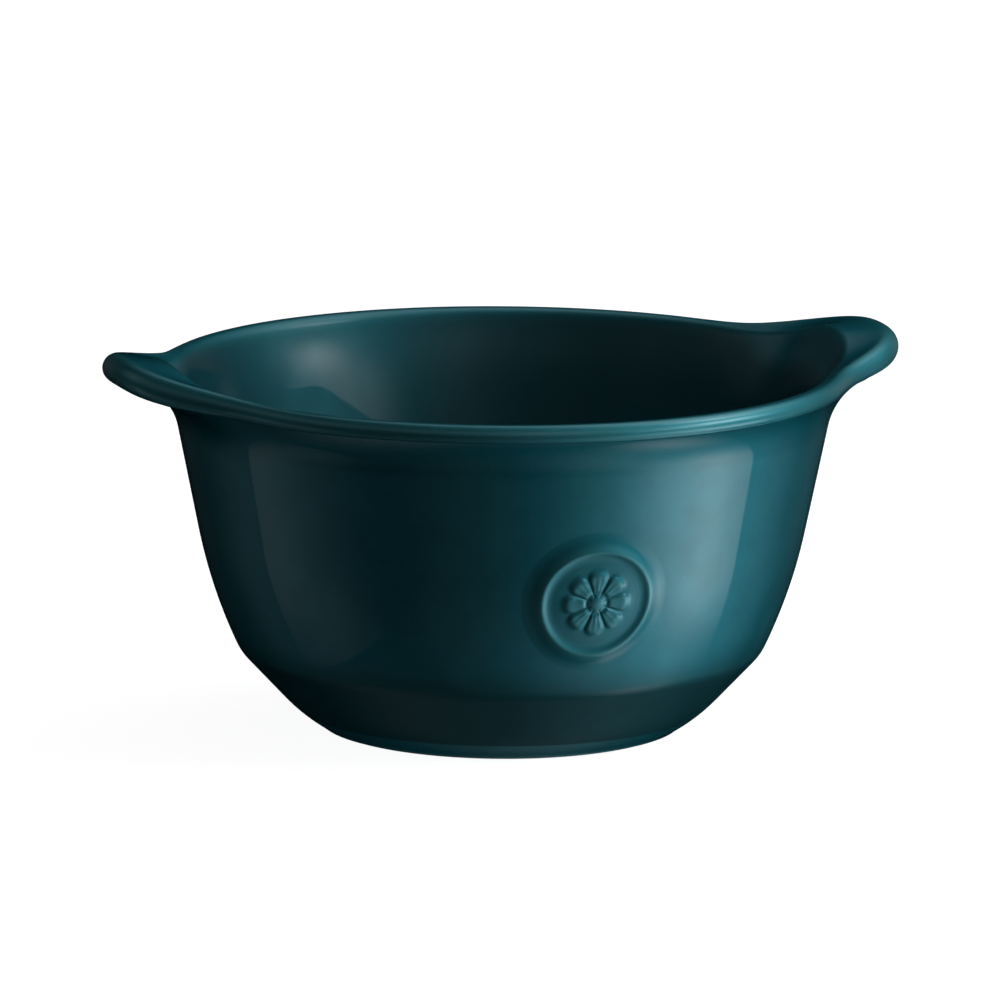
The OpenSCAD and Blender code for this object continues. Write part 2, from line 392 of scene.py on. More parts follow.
    def section(self, angle: float) -> list[tuple[Point, float]]:
        """Gives the glazed outline from the middle of the underside round to the floor's middle.

        Args:
            angle: Angle from the nearest lug's middle.

        Returns:
            Points with the coat's thinness at each, always as many of them.
        """
        base, edge, edge_angle = self.base_parts()
        belly, rim, cut = self.belly_centre(), self.rounds(angle), self.steps
        lean = math.radians(self.wall_lean)
        hollow_z = self.floor_height + self.floor_radius
        hollow_r = self.inner_r(hollow_z) - self.floor_radius / math.cos(lean)
        bevel_turn = self.bevel_slope - 90
        bevel_low = on_round(base, self.base_radius, bevel_turn)
        bevel_top = on_round(edge, self.edge_radius, bevel_turn)
        wall_foot = (self.line_r(self.belly_height), self.belly_height)
        belly_arc = arc(belly, self.belly_radius, edge_angle, -self.wall_lean, cut.belly)
        cove_arc = arc(rim.cove, rim.cove_radius, 180 - self.wall_lean, rim.turn + 180, cut.cove)
        nose_arc = arc(rim.nose, rim.nose_radius, rim.turn, 90 + rim.tilt, cut.nose)
        crown_arc = arc(rim.crown, self.crown_radius, 90 + rim.tilt, 180 - rim.lean, cut.crown)
        throat = self.throat(crown_arc[-1], rim.lean, cut.throat)
        hollow_arc = arc((hollow_r, hollow_z), self.floor_radius, -self.wall_lean, -90, cut.hollow)
        parts = self.underside(base) + [
            (line(bevel_low, bevel_top, cut.bevel), Coat.EVEN),
            (arc(edge, self.edge_radius, bevel_turn, edge_angle, cut.edge), Coat.SOFT_EDGE),
            (belly_arc[1:], Coat.EVEN),
            (line(wall_foot, cove_arc[0], cut.wall), Coat.EVEN),
            (cove_arc, Coat.POOLED),
            (line(cove_arc[-1], nose_arc[0], cut.lip), Coat.EVEN),
            (nose_arc, Coat.THIN),
            (line(nose_arc[-1], crown_arc[0], cut.rim_top), Coat.EVEN),
            (crown_arc[1:], Coat.SOFT_EDGE),
            (throat[-2::-1], Coat.EVEN),
            (line(throat[0], hollow_arc[0], cut.hollow_wall), Coat.EVEN),
            (hollow_arc, Coat.POOLED),
            (line(hollow_arc[-1], (0.0, self.floor_height), cut.floor), Coat.POOLED),
            ([(0.0, self.floor_height)], Coat.POOLED),
        ]
        return [(p, coat.value) for stretch, coat in parts for p in stretch]


@dataclass(frozen=True)
class Unevenness:
    """How the hand and the kiln leave the glaze a little inside the true form, unevenly."""

    slow_scale: float = 22.0
    slow_depth: float = 0.05 * MM
    quick_scale: float = 75.0
    quick_depth: float = 0.012 * MM
    quick_shift: Place = (3.1, 7.7, 1.3)
    sunk: float = 0.045 * MM

    def at(self, place: Vector) -> float:
        """Gives how far the glaze stands off the true form at a place."""
        slow = noise.noise(place * self.slow_scale) * self.slow_depth
        quick = noise.noise(place * self.quick_scale + Vector(self.quick_shift)) * self.quick_depth
        return slow + quick - self.sunk


def add_piece(
    name: str,
    places: Sequence[Place],
    faces: Sequence[Sequence[int]],
    finish: bpy.types.Material,
    nodes: Sequence[str],
    sharp: float = 180.0,
) -> bpy.types.Object:
    """Makes a smooth mesh piece that rides on the bowl and stands for CAD nodes.

    Args:
        name: Name of the piece.
        places: Its points.
        faces: Its faces, as rows of point numbers.
        finish: Its material.
        nodes: The CAD nodes that it stands for.
        sharp: Angle between faces from which their edge stays sharp.

    Returns:
        The new object.
    """
    mesh = bpy.data.meshes.new(name)
    mesh.from_pydata(places, [], faces)
    mesh.polygons.foreach_set("use_smooth", [True] * len(mesh.polygons))
    if sharp < 180.0:
        mesh.set_sharp_from_angle(angle=math.radians(sharp))
    mesh.materials.append(finish)
    mesh.update()
    piece = bpy.data.objects.new(name, mesh)
    bpy.context.scene.collection.objects.link(piece)
    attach(piece, BODY)
    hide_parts(*nodes)
    return piece


def add_point_values(piece: bpy.types.Object, layer: Layer, values: Sequence[float]) -> None:
    """Stores one number per point of a piece, for its material to read.

    Args:
        piece: The piece.
        layer: What the numbers say.
        values: One number per point.
    """
    stored = piece.data.attributes.new(layer.value, "FLOAT", "POINT")
    stored.data.foreach_set("value", values)


class NodeBench:
    """A small helper that lays out the nodes of one material."""

    def __init__(self, name: str) -> None:
        """Starts a material with a Principled shader.

        Args:
            name: Name of the material.
        """
        self.material = bpy.data.materials.new(name)
        self.material.use_nodes = True
        self.tree = self.material.node_tree
        self.shader = self.tree.nodes["Principled BSDF"]

    def node(self, kind: str, **values: object) -> bpy.types.Node:
        """Adds a node and sets its own properties."""
        made = self.tree.nodes.new(kind)
        for key, value in values.items():
            setattr(made, key, value)
        return made

    def link(self, start: bpy.types.NodeSocket, end: bpy.types.NodeSocket) -> None:
        """Joins two sockets."""
        self.tree.links.new(start, end)

    def noise_at(self, scale: float, detail: float, roughness: float) -> bpy.types.NodeSocket:
        """Adds a noise texture on the object's own coordinates.

        Args:
            scale: Ripples per metre.
            detail: Number of finer layers.
            roughness: How strong the finer layers are.

        Returns:
            The noise's socket, from 0 to 1.
        """
        where = self.node("ShaderNodeTexCoord")
        ripple = self.node("ShaderNodeTexNoise")
        ripple.inputs["Scale"].default_value = scale
        ripple.inputs["Detail"].default_value = detail
        ripple.inputs["Roughness"].default_value = roughness
        self.link(where.outputs["Object"], ripple.inputs["Vector"])
        return ripple.outputs["Fac"]

    def layer(self, layer: Layer) -> bpy.types.NodeSocket:
        """Adds a node that reads one of the mesh's own numbers, and gives its socket."""
        return self.node("ShaderNodeAttribute", attribute_name=layer.value).outputs["Fac"]

    def mix(self, share: Feed, first: Feed, second: Feed) -> bpy.types.NodeSocket:
        """Mixes two colours.

        Args:
            share: How much of the second there is, as a number or a socket.
            first: A colour or a socket.
            second: A colour or a socket.

        Returns:
            The mixed colour's socket.
        """
        blend = self.node("ShaderNodeMix", data_type="RGBA")
        for value, slot in ((share, 0), (first, 6), (second, 7)):
            socket = blend.inputs[slot]
            if isinstance(value, bpy.types.NodeSocket):
                self.link(value, socket)
            else:
                socket.default_value = value
        return blend.outputs[2]

    def range(
        self, source: bpy.types.NodeSocket, low: float, high: float, to_low: float, to_high: float
    ) -> bpy.types.NodeSocket:
        """Maps a number from one range to another.

        Args:
            source: The socket to map.
            low: Start of its range.
            high: End of its range.
            to_low: Result at the start.
            to_high: Result at the end.

        Returns:
            The mapped number's socket.
        """
        mapped = self.node("ShaderNodeMapRange")
        self.link(source, mapped.inputs["Value"])
        ends = {"From Min": low, "From Max": high, "To Min": to_low, "To Max": to_high}
        for name, value in ends.items():
            mapped.inputs[name].default_value = value
        return mapped.outputs["Result"]

    def bump(self, height: bpy.types.NodeSocket, depth: float) -> None:
        """Adds a bump to the shader.

        Args:
            height: The height's socket, from 0 to 1.
            depth: What a height of 1 stands for.
        """
        made = self.node("ShaderNodeBump")
        made.inputs["Strength"].default_value = 1.0
        made.inputs["Distance"].default_value = depth
        self.link(height, made.inputs["Height"])
        self.link(made.outputs["Normal"], self.shader.inputs["Normal"])


@dataclass(frozen=True)
class TealGlaze:
    """Deep glossy teal glaze over a dark body, lighter where it thins and darker where it pools.

    Light that comes back out of the glaze keeps near the mirror direction, so its colour is a
    broad sheen under a clear gloss and there is hardly any plain diffuse light. The darker
    inside colour is painted shade, laid in the hollow and on the bevel below.
    """

    deep: Colour = (0.036, 0.316, 0.405, 1.0)
    even: Colour = (0.044, 0.354, 0.450, 1.0)
    thin: Colour = (0.090, 0.460, 0.540, 1.0)
    pooled: Colour = (0.018, 0.270, 0.345, 1.0)
    # inside is painted shade: a darker copy of the glaze for the hollow and the bevel below, where
    # less light falls; inside_gloss thins the clear coat there.
    inside: Colour = (0.030, 0.150, 0.182, 1.0)
    inside_gloss: float = 0.4
    sheen: float = 0.95
    edge_tint: Colour = (0.16, 0.62, 0.74, 1.0)
    softness: tuple[float, float] = (0.52, 0.58)
    coat_softness: float = 0.03
    coat_bend: float = 1.5
    mottle_scale: float = 90.0
    mottle_band: tuple[float, float] = (0.35, 0.65)
    thin_share: float = 0.85
    pooled_share: float = 0.8
    speck_scale: float = 1500.0
    speck_band: tuple[float, float] = (0.70, 0.78)
    speck_share: float = 0.35
    gloss_scale: float = 160.0
    gloss_band: tuple[float, float] = (0.3, 0.7)
    peel_scale: float = 420.0
    peel_depth: float = 0.012 * MM

    def make(self) -> bpy.types.Material:
        """Makes the material."""
        bench = NodeBench(Slot.GLAZE.value)
        shader = bench.shader
        # hollow carries the painted shade mask: the darker inside colour and less clear coat.
        hollow = bench.layer(Layer.PAINTED_SHADE)
        tone = bench.mix(hollow, self.outside_tone(bench), self.inside)
        bench.link(tone, shader.inputs["Base Color"])
        clear = bench.range(hollow, 0.0, 1.0, 1.0, self.inside_gloss)
        bench.link(clear, shader.inputs["Coat Weight"])
        gloss = bench.noise_at(self.gloss_scale, 2.0, 0.5)
        soft = bench.range(gloss, *self.gloss_band, *self.softness)
        bench.link(soft, shader.inputs["Roughness"])
        bench.bump(bench.noise_at(self.peel_scale, 1.5, 0.45), self.peel_depth)
        shader.inputs["Metallic"].default_value = self.sheen
        shader.inputs["Specular Tint"].default_value = self.edge_tint
        shader.inputs["Coat Roughness"].default_value = self.coat_softness
        shader.inputs["Coat IOR"].default_value = self.coat_bend
        return bench.material

    def outside_tone(self, bench: NodeBench) -> bpy.types.NodeSocket:
        """Lays out the colour outside: mottled, lighter where thin, darker where pooled, flecked.

        Args:
            bench: The material's node bench.

        Returns:
            The colour's socket.
        """
        even = Coat.EVEN.value
        mottle = bench.noise_at(self.mottle_scale, 3.0, 0.55)
        tone = bench.mix(bench.range(mottle, *self.mottle_band, 0.0, 1.0), self.deep, self.even)
        coat = bench.layer(Layer.THIN)
        thin = bench.range(coat, even, Coat.THIN.value, 0.0, self.thin_share)
        tone = bench.mix(thin, tone, self.thin)
        pooled = bench.range(coat, even, Coat.POOLED.value, 0.0, self.pooled_share)
        tone = bench.mix(pooled, tone, self.pooled)
        speck = bench.noise_at(self.speck_scale, 1.0, 0.4)
        flecked = bench.range(speck, *self.speck_band, 0.0, self.speck_share)
        return bench.mix(flecked, tone, self.thin)


@dataclass(frozen=True)
class BareClay:
    """Unglazed fired clay, matt and fine grained, a little stained where it rests."""

    body: Colour = (0.50, 0.42, 0.34, 1.0)
    stain: Colour = (0.33, 0.27, 0.21, 1.0)
    grit: Colour = (0.62, 0.55, 0.46, 1.0)
    patch_scale: float = 110.0
    patch_band: tuple[float, float] = (0.45, 0.75)
    patch_share: float = 0.7
    grain_scale: float = 2600.0
    grain_band: tuple[float, float] = (0.58, 0.72)
    grain_share: float = 0.6
    matt_band: tuple[float, float] = (0.3, 0.7)
    mattness: tuple[float, float] = (0.78, 0.95)
    pit_scale: float = 1400.0
    pit_depth: float = 0.06 * MM

    def make(self) -> bpy.types.Material:
        """Makes the material."""
        bench = NodeBench(Slot.CLAY.value)
        shader = bench.shader
        patch = bench.noise_at(self.patch_scale, 4.0, 0.6)
        stained = bench.range(patch, *self.patch_band, 0.0, self.patch_share)
        tone = bench.mix(stained, self.body, self.stain)
        grain = bench.noise_at(self.grain_scale, 2.0, 0.6)
        gritty = bench.range(grain, *self.grain_band, 0.0, self.grain_share)
        bench.link(bench.mix(gritty, tone, self.grit), shader.inputs["Base Color"])
        bench.link(bench.range(grain, *self.matt_band, *self.mattness), shader.inputs["Roughness"])
        bench.bump(bench.noise_at(self.pit_scale, 3.0, 0.6), self.pit_depth)
        return bench.material


@dataclass
class GlazedBowl:
    """The whole glazed form in one skin: base, belly, wall, rolled rim, both lugs and hollow."""

    outline: BowlOutline
    finish: bpy.types.Material
    columns: int = 480
    blur: float = 0.9 * MM
    # Where the painted shade of the hollow and the bevel below starts, and how it fades in.
    painted_shade_from: float = 3.4 * MM
    painted_shade_fade: float = 2.4 * MM
    painted_shade_above: float = 4 * MM
    even_below: float = 1 * MM
    even_fade: float = 6 * MM
    nodes: tuple[str, ...] = ("bowl_body", "rolled_rim", "left_lug", "right_lug")

    def build(self) -> bpy.types.Object:
        """Builds the skin, the attribute that says how thick its glaze is, and its painted shade
        mask.

        Returns:
            The finished piece.
        """
        rings = [self.column(360 * j / self.columns) for j in range(self.columns)]
        rows = len(rings[0][0])
        places: list[Place] = [rings[0][0][0], rings[0][0][-1]]
        values = [rings[0][1][0], rings[0][1][-1]]
        for ring, coats in rings:
            places.extend(ring[1:-1])
            values.extend(coats[1:-1])
        inner = rows - 2
        faces: list[tuple[int, ...]] = []
        for j in range(self.columns):
            here, there = 2 + j * inner, 2 + (j + 1) % self.columns * inner
            faces.append((0, there, here))
            for k in range(inner - 1):
                faces.append((here + k, there + k, there + k + 1, here + k + 1))
            faces.append((1, here + inner - 1, there + inner - 1))
        piece = add_piece("glazed_bowl", places, faces, self.finish, self.nodes)
        self.even_out(piece)
        add_point_values(piece, Layer.THIN, values)
        # The painted shade mask: darker glaze in the hollow and on the bevel below.
        add_point_values(piece, Layer.PAINTED_SHADE, [self.painted_shade_share(place) for place in places])
        return piece

    def painted_shade_share(self, place: Place) -> float:
        """Gives how much painted shade a place has: a darker glaze colour with less clear coat.

        Args:
            place: A place on the skin.

        Returns:
            A share from 0 on the rim and on the wall outside to 1 within the inner wall's
            line. The bevel outside lies within that line too, so it gets the painted shade as well.
        """
        if place[2] <= self.painted_shade_above:
            return 0.0
        depth = self.outline.inner_r(place[2]) - math.hypot(place[0], place[1]) + self.painted_shade_from
        share = min(1.0, max(0.0, depth / self.painted_shade_fade))
        return share * share * (3 - 2 * share)

    def column(self, turn: float) -> tuple[list[Place], list[float]]:
        """Gives one column of the skin, from under the foot to the floor's middle.

        Args:
            turn: Angle round the bowl from +X.

        Returns:
            Its places, and how thin the glaze is at each.
        """
        folded = abs((turn + 90) % 180 - 90)
        section = self.outline.section(folded)
        points = [p for p, _ in section]
        run = [0.0]
        for a, b in zip(points, points[1:]):
            run.append(run[-1] + math.dist(a, b))
        coats = self.smooth(run, [c for _, c in section])
        c, s = math.cos(math.radians(turn)), math.sin(math.radians(turn))
        return [(r * c, r * s, z) for r, z in points], coats

    def smooth(self, run: Sequence[float], coats: Sequence[float]) -> list[float]:
        """Blurs the coat along an outline.

        Args:
            run: Distance along the outline at each point.
            coats: The coat at each point.

        Returns:
            The blurred coat at each point.
        """
        blurred = []
        for at in run:
            total = weight = 0.0
            for k, there in enumerate(run):
                gap = abs(there - at)
                if gap < 3 * self.blur:
                    reach = (run[min(k + 1, len(run) - 1)] - run[max(k - 1, 0)]) / 2
                    share = math.exp(-((gap / self.blur) ** 2)) * reach
                    total += share * coats[k]
                    weight += share
            blurred.append(total / weight if weight else 0.0)
        return blurred

    def even_out(self, piece: bpy.types.Object) -> None:
        """Gives the true form the slight unevenness of a glazed surface."""
        mesh, uneven = piece.data, Unevenness()
        normals = [v.normal.copy() for v in mesh.vertices]
        for vertex, normal in zip(mesh.vertices, normals):
            share = min(1.0, max(0.0, (vertex.co.z - self.even_below) / self.even_fade))
            vertex.co += normal * uneven.at(vertex.co) * share
        mesh.update()


@dataclass(frozen=True)
class Petals:
    """The rosette's shape, as shares of its own radius and height unless it says otherwise."""

    count: int = 8
    scallop: float = 0.20
    scallop_power: float = 1.5
    end: float = 0.90
    steepness: float = 26
    groove_width: float = 0.36
    groove_depth: float = 0.85
    groove_from: float = 0.35
    cup_level: float = 0.72
    lip_at: float = 0.78
    lip_width: float = 0.15
    vein: float = 0.10
    vein_width: float = 0.05
    gap_at: float = 1.28
    gap_width: float = 0.50 * MM
    gap_depth: float = 0.75
    boss: float = 1.15

    def height(self, radius: float, turn: float, reach: float, boss_radius: float) -> float:
        """Gives the height over the field at a radius and an angle: petals round a boss.

        Args:
            radius: Distance from the rosette's middle.
            turn: Angle round it, in radians.
            reach: The rosette's own radius.
            boss_radius: Radius of the boss in its middle.

        Returns:
            The height as a share of the petals' own.
        """
        share = radius / reach
        lobe = abs(math.cos(self.count * turn / 2))
        out = share / (1 - self.scallop * (1 - lobe) ** self.scallop_power)
        fade = 1 / (1 + math.exp((out - self.end) * self.steepness))
        groove = bell(lobe, self.groove_width) * min(1.0, share / self.groove_from)
        cup = self.cup_level + (1 - self.cup_level) * bell(out - self.lip_at, self.lip_width)
        swell = max(0.0, math.sin(math.pi * min(1.0, out)))
        vein = self.vein * bell(1 - lobe, self.vein_width) * swell
        petal = fade * (cup + vein) * (1 - self.groove_depth * groove)
        petal *= 1 - self.gap_depth * bell(radius - boss_radius * self.gap_at, self.gap_width)
        if radius >= boss_radius:
            return petal
        return max(petal, self.boss * math.sqrt(1 - (radius / boss_radius) ** 2 + FLAT_TOP))


@dataclass
class Medallion:
    """The raised ring on the front of the wall, with a small rosette on the field inside it."""

    outline: BowlOutline
    finish: bpy.types.Material
    height: float = 37.5 * MM
    crest_radius: float = 11.4 * MM
    crest_height: float = 0.86 * MM
    field_height: float = 0.36 * MM
    outer_slope: float = 2.0 * MM
    inner_slope: float = 0.95 * MM
    outer_power: float = 1.6
    inner_power: float = 1.7
    crest_round: float = 0.12 * MM
    crest_fill: float = 1.03
    rosette_radius: float = 7.7 * MM
    rosette_reach: float = 1.14
    rosette_steps: int = 64
    petals: Petals = Petals()
    petal_height: float = 0.80 * MM
    boss_radius: float = 1.7 * MM
    least_thin: float = -0.25
    spokes: int = 288
    sunk: float = 0.03 * MM
    backing: float = 0.5 * MM

    def on_wall(self, across: float, up: float, proud: float) -> Place:
        """Gives a place on the front of the wall.

        Args:
            across: Distance along the wall from the medallion's middle, to the right.
            up: Distance up the wall from that middle.
            proud: Distance out from the wall.

        Returns:
            The place.
        """
        z = self.height + up * math.cos(self.outline.lean_at(self.height))
        turn = across / self.outline.wall_r(self.height)
        lean = self.outline.lean_at(z)
        r = self.outline.wall_r(z)
        foot = Vector((r * math.sin(turn), -r * math.cos(turn), z))
        proud += Unevenness().at(foot)
        r += proud * math.cos(lean)
        return r * math.sin(turn), -r * math.cos(turn), z - proud * math.sin(lean)

    def relief(
        self, name: str, radii: Sequence[float], height: Callable[[float, float], float], node: str
    ) -> bpy.types.Object:
        """Builds a round relief that is wrapped on the wall and backed inside it.

        Args:
            name: Name of the piece.
            radii: Radii of its rings, from inside out. A first radius of 0 makes a disc.
            height: Its height at a radius and an angle in radians.
            node: The CAD node that it stands for.

        Returns:
            The finished piece.
        """
        disc = radii[0] == 0.0
        rings = list(radii[1:] if disc else radii)
        turns = [2 * math.pi * k / self.spokes for k in range(self.spokes)]
        spots = [(r, t) for r in rings for t in turns]
        top = [self.on_wall(r * math.cos(t), r * math.sin(t), height(r, t)) for r, t in spots]
        back = [self.on_wall(r * math.cos(t), r * math.sin(t), -self.backing) for r, t in spots]
        places = top + back
        n, last, half = self.spokes, len(rings) - 1, len(top)
        faces: list[tuple[int, ...]] = []
        for k in range(n):
            m = (k + 1) % n
            for j in range(last):
                a, b, c, d = j * n + k, j * n + m, (j + 1) * n + m, (j + 1) * n + k
                faces.append((a, d, c, b))
                faces.append((half + b, half + c, half + d, half + a))
            edge = last * n
            faces.append((edge + k, half + edge + k, half + edge + m, edge + m))
            if disc:
                faces.append((2 * half, k, m))
                faces.append((2 * half + 1, half + m, half + k))
            else:
                faces.append((m, half + m, half + k, k))
        if disc:
            places.append(self.on_wall(0, 0, height(0.0, 0.0)))
            places.append(self.on_wall(0, 0, -self.backing))
        piece = add_piece(name, places, faces, self.finish, [node], sharp=50)
        full = self.crest_height - self.field_height
        thin = [(height(r, t) - self.field_height) / full for r, t in spots]
        values = [min(1.0, max(self.least_thin, share)) for share in thin]
        add_point_values(piece, Layer.THIN, values + [0.0] * (len(places) - half))
        return piece

    def ring_height(self, radius: float, _turn: float) -> float:
        """Gives the ring's height at a radius: a crest that falls to the field and to the wall."""
        off = radius - self.crest_radius
        level, width, power = self.field_height, self.inner_slope, self.inner_power
        if off > 0:
            level, width, power = 0.0, self.outer_slope, self.outer_power
        share = self.crest_fill * math.exp(-((math.hypot(off, self.crest_round) / width) ** power))
        return level + (self.crest_height - level) * share - self.sunk

    def rosette_height(self, radius: float, turn: float) -> float:
        """Gives the rosette's height at a radius and an angle."""
        share = self.petals.height(radius, turn, self.rosette_radius, self.boss_radius)
        return self.field_height + (self.petal_height - self.field_height) * share - self.sunk

    def build(self) -> list[bpy.types.Object]:
        """Builds the ring and the rosette.

        Returns:
            The two pieces.
        """
        radii = [self.crest_radius + off * MM for off in CREST_OFFSETS_MM]
        ring = self.relief("ring_on_wall", radii, self.ring_height, "medallion_ring")
        reach, steps = self.rosette_radius * self.rosette_reach, self.rosette_steps
        discs = [reach * j / steps for j in range(steps + 1)]
        rosette = self.relief("petals_in_ring", discs, self.rosette_height, "medallion_rosette")
        return [ring, rosette]


@dataclass
class FootRing:
    """The bare clay ring that the bowl rests on."""

    outline: BowlOutline
    finish: bpy.types.Material
    columns: int = 240
    top: float = 0.62 * MM
    set_in: float = 0.16 * MM
    round_out: float = 0.22 * MM
    round_in: float = 0.35 * MM

    def build(self) -> bpy.types.Object:
        """Builds the ring.

        Returns:
            The finished piece.
        """
        out = self.outline.foot_radius() - self.set_in
        inside = self.outline.foot_radius() - self.outline.foot_width + self.set_in
        loop = [(inside, self.top)]
        loop += arc((inside + self.round_in, self.round_in), self.round_in, 180, 270, 6)
        loop += line((inside + self.round_in, 0.0), (out - self.round_out, 0.0), 8)
        loop += arc((out - self.round_out, self.round_out), self.round_out, 270, 360, 6)
        loop += [(out, self.top)]
        places: list[Place] = []
        for j in range(self.columns):
            turn = 2 * math.pi * j / self.columns
            places.extend((r * math.cos(turn), r * math.sin(turn), z) for r, z in loop)
        n = len(loop)
        faces = []
        for j in range(self.columns):
            here, there = j * n, (j + 1) % self.columns * n
            for k in range(n):
                m = (k + 1) % n
                faces.append((here + k, there + k, there + m, here + m))
        return add_piece("clay_foot", places, faces, self.finish, ["foot_ring"], sharp=50)


def toward(azimuth: float, elevation: float) -> Vector:
    """Gives the way from the bowl to a place round it: azimuth 0 is the front, 90 the right."""
    a, e = math.radians(azimuth), math.radians(elevation)
    return Vector((math.sin(a) * math.cos(e), -math.cos(a) * math.cos(e), math.sin(e)))


@dataclass(frozen=True)
class SoftBox:
    """A soft box that stands round the bowl, faces it and is brightest in one place."""

    name: str
    azimuth: float
    elevation: float
    size: Point
    radiance: float
    spread: Point
    middle: Point = (0.5, 0.5)
    floor_level: float = 0.0
    distance: float = 1.0

    def place(self, aim: Vector) -> None:
        """Sets the soft box up.

        Args:
            aim: The point that it faces.
        """
        lamp = bpy.data.lights.new(self.name, "AREA")
        lamp.shape = "RECTANGLE"
        lamp.size, lamp.size_y = self.size
        lamp.energy = self.radiance * math.pi * self.size[0] * self.size[1]
        back = toward(self.azimuth, self.elevation)
        stand = bpy.data.objects.new(self.name, lamp)
        stand.location = aim + back * self.distance
        stand.rotation_mode = "QUATERNION"
        stand.rotation_quaternion = (-back).to_track_quat("-Z", "Y")
        stand.visible_camera = False
        bpy.context.scene.collection.objects.link(stand)
        self.shade(lamp)

    def shade(self, lamp: bpy.types.Light) -> None:
        """Makes the face brightest in one place, as a lamp behind a cloth does."""
        lamp.use_nodes = True
        tree = lamp.node_tree

        def work(
            operation: str, first: bpy.types.NodeSocket, second: Feed | None = None
        ) -> bpy.types.NodeSocket:
            """Adds one sum on a socket and a number or a second socket, and gives its result."""
            made = tree.nodes.new("ShaderNodeMath")
            made.operation = operation
            tree.links.new(first, made.inputs[0])
            if isinstance(second, bpy.types.NodeSocket):
                tree.links.new(second, made.inputs[1])
            elif second is not None:
                made.inputs[1].default_value = second
            return made.outputs[0]

        glow = next(n for n in tree.nodes if n.type == "EMISSION")
        face = tree.nodes.new("ShaderNodeNewGeometry")
        split = tree.nodes.new("ShaderNodeSeparateXYZ")
        tree.links.new(face.outputs["Parametric"], split.inputs["Vector"])
        squares = []
        for axis in (0, 1):
            off = work("SUBTRACT", split.outputs[axis], self.middle[axis])
            wide = work("DIVIDE", off, self.spread[axis])
            squares.append(work("MULTIPLY", wide, wide))
        fall = work("EXPONENT", work("MULTIPLY", work("ADD", *squares), -1.0))
        level = tree.nodes.new("ShaderNodeMapRange")
        level.inputs["To Min"].default_value = self.floor_level
        level.inputs["To Max"].default_value = 1.0
        tree.links.new(fall, level.inputs["Value"])
        tree.links.new(level.outputs["Result"], glow.inputs["Strength"])


@dataclass
class Studio:
    """The pale floor, the soft boxes and the camera."""

    boxes: list[SoftBox]
    camera_azimuth: float = -18.055
    camera_elevation: float = 10.99
    camera_distance: float = 2.534
    camera_roll: float = 0.40
    lens: float = 438.97
    sensor: float = 36.0
    sight: float = 100.0
    mid_height: float = 40 * MM
    raise_aim: float = 7.19 * MM
    side_aim: float = -0.40 * MM
    floor_size: float = 60.0
    floor_gap: float = 0.05 * MM
    floor_tone: Colour = (0.92, 0.92, 0.92, 1)
    floor_softness: float = 0.9
    floor_glow: float = 0.93
    white: Colour = (1, 1, 1, 1)

    def build(self) -> None:
        """Sets the studio up."""
        self.add_floor()
        self.add_world()
        for box in self.boxes:
            box.place(Vector((0, 0, self.mid_height)))
        self.add_camera()
        bpy.context.scene.view_settings.view_transform = "Standard"

    def add_floor(self) -> None:
        """Adds the plain pale floor, which only the camera sees: it sends the bowl no light."""
        half, low = self.floor_size / 2, -self.floor_gap
        mesh = bpy.data.meshes.new("floor")
        corners = [(-half, -half, low), (half, -half, low), (half, half, low), (-half, half, low)]
        mesh.from_pydata(corners, [], [(0, 1, 2, 3)])
        floor = bpy.data.objects.new("floor", mesh)
        bench = NodeBench("pale_floor")
        bench.shader.inputs["Base Color"].default_value = self.floor_tone
        bench.shader.inputs["Roughness"].default_value = self.floor_softness
        bench.shader.inputs["Specular IOR Level"].default_value = 0.0
        bench.shader.inputs["Emission Color"].default_value = self.white
        bench.shader.inputs["Emission Strength"].default_value = self.floor_glow
        mesh.materials.append(bench.material)
        floor.visible_glossy = False
        floor.visible_diffuse = False
        floor.visible_shadow = False
        bpy.context.scene.collection.objects.link(floor)

    def add_world(self) -> None:
        """Makes the room behind the lights dark, and white only where the camera looks into it."""
        world = bpy.data.worlds.new("room")
        bpy.context.scene.world = world
        world.use_nodes = True
        tree = world.node_tree
        room = tree.nodes["Background"]
        room.inputs["Strength"].default_value = 0.0
        pale = tree.nodes.new("ShaderNodeBackground")
        pale.inputs["Color"].default_value = self.white
        path = tree.nodes.new("ShaderNodeLightPath")
        pick = tree.nodes.new("ShaderNodeMixShader")
        tree.links.new(path.outputs["Is Camera Ray"], pick.inputs["Fac"])
        tree.links.new(room.outputs["Background"], pick.inputs[1])
        tree.links.new(pale.outputs["Background"], pick.inputs[2])
        tree.links.new(pick.outputs["Shader"], tree.nodes["World Output"].inputs["Surface"])

    def add_camera(self) -> None:
        """Adds the camera at the photograph's viewing angle."""
        a = math.radians(self.camera_azimuth)
        back = toward(self.camera_azimuth, self.camera_elevation)
        right = Vector((math.cos(a), math.sin(a), 0))
        up = back.cross(right)
        middle = Vector((0, 0, self.mid_height))
        stand = middle + back * self.camera_distance
        aim = middle + up * self.raise_aim + right * self.side_aim
        data = bpy.data.cameras.new("camera")
        data.lens = self.lens
        data.sensor_width = self.sensor
        data.clip_end = self.sight
        camera = bpy.data.objects.new("camera", data)
        camera.location = stand
        camera.rotation_mode = "QUATERNION"
        look = (aim - stand).to_track_quat("-Z", "Y")
        roll = Matrix.Rotation(math.radians(self.camera_roll), 4, "Z").to_quaternion()
        camera.rotation_quaternion = look @ roll
        bpy.context.scene.collection.objects.link(camera)
        bpy.context.scene.camera = camera


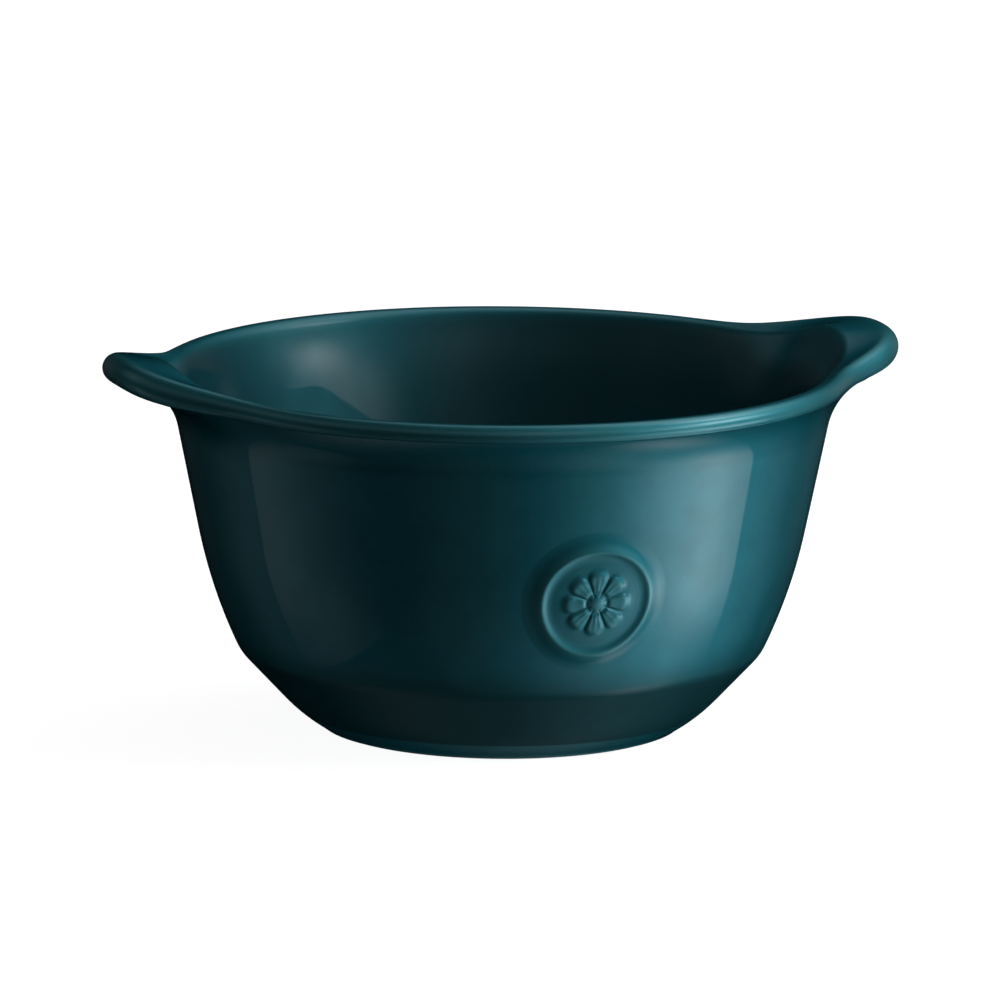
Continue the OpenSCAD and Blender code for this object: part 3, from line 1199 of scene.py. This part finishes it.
@dataclass(frozen=True)
class LightPlan:
    """Where the soft boxes stand and how bright each is, as fitted to the photographed gloss."""

    box_size: Point = (0.6, 0.6)
    box_spread: Point = (0.25, 0.25)
    boxes: tuple[Place, ...] = (
        (35, 12, 0.90), (47.5, 12, 1.07), (72.5, 48, 2.47), (85, 48, 1.0),
    )
    right_card: Point = (50.4, -40.4)
    right_card_size: Point = (1.27, 1.14)
    right_card_spread: Point = (0.18, 0.18)
    right_card_spots: tuple[Place, ...] = (
        (0.45, 0.70, 0.90), (0.45, 0.95, 0.58), (0.70, 0.20, 0.96), (0.70, 0.70, 2.13),
        (0.95, 0.70, 0.73),
    )
    left_card: Point = (-95.0, -22.0)
    left_card_size: Point = (0.95, 0.86)
    left_card_spread: Point = (0.30, 0.30)
    left_card_spots: tuple[Place, ...] = ((0.15, 0.50, 0.145), (0.50, 0.20, 0.096))
    card_gap: float = 0.003
    fill_size: Point = (1.1, 1.1)
    fill_spread: Point = (0.28, 0.28)
    fills: tuple[Place, ...] = (
        (-120, -68, 0.12), (120, -68, 0.165), (-30, -44, 0.043), (30, -44, 0.330),
        (-126, -20, 0.055), (90, -20, 0.135), (-162, 5, 0.040), (126, 5, 0.142),
        (-120, 30, 0.178), (-80, 30, 0.119), (-40, 30, 0.111), (0, 30, 0.327),
        (103, 55, 1.1), (154, 55, 0.42),
    )

    def all(self) -> list[SoftBox]:
        """Gives the bright box at the right, the boxes and cards beside it, and the dim fills.

        Spots on one card are soft boxes in nearly one place. Each stands a little farther off
        than the one before, because lights in one plane hide each other.

        Returns:
            The soft boxes, in the order in which they are set up.
        """
        found = [SoftBox(
            "right_box", 61.2, 22.35, (0.93, 0.61), 4.75, (0.226, 0.254), (0.485, 0.445), 0.02
        )]
        for azimuth, elevation, radiance in self.boxes:
            name = f"box_{azimuth:g}_{elevation:g}"
            found.append(SoftBox(name, azimuth, elevation, self.box_size, radiance, self.box_spread))
        cards = (
            ("right_card", *self.right_card, self.right_card_size, self.right_card_spread,
             self.right_card_spots),
            ("left_card", *self.left_card, self.left_card_size, self.left_card_spread,
             self.left_card_spots),
        )
        for card, azimuth, elevation, size, spread, spots in cards:
            for u, v, radiance in spots:
                name = f"{card}_{u:g}_{v:g}"
                away = 1.0 + self.card_gap * len(found)
                found.append(SoftBox(
                    name, azimuth, elevation, size, radiance, spread, (u, v), distance=away
                ))
        for azimuth, elevation, radiance in self.fills:
            name = f"fill_{azimuth}_{elevation}"
            found.append(
                SoftBox(name, azimuth, elevation, self.fill_size, radiance, self.fill_spread)
            )
        return found


def main() -> None:
    """Builds the bowl and the studio in order, and reports each piece."""
    logging.basicConfig(level=logging.INFO, format="%(name)s: %(message)s")
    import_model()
    outline = BowlOutline()
    glaze = TealGlaze().make()
    clay = BareClay().make()
    pieces = [GlazedBowl(outline, glaze).build(), FootRing(outline, clay).build()]
    pieces += Medallion(outline, glaze).build()
    Studio(LightPlan().all()).build()
    for piece in pieces:
        LOG.info("%s: %d points", piece.name, len(piece.data.vertices))


if __name__ == "__main__":
    main()
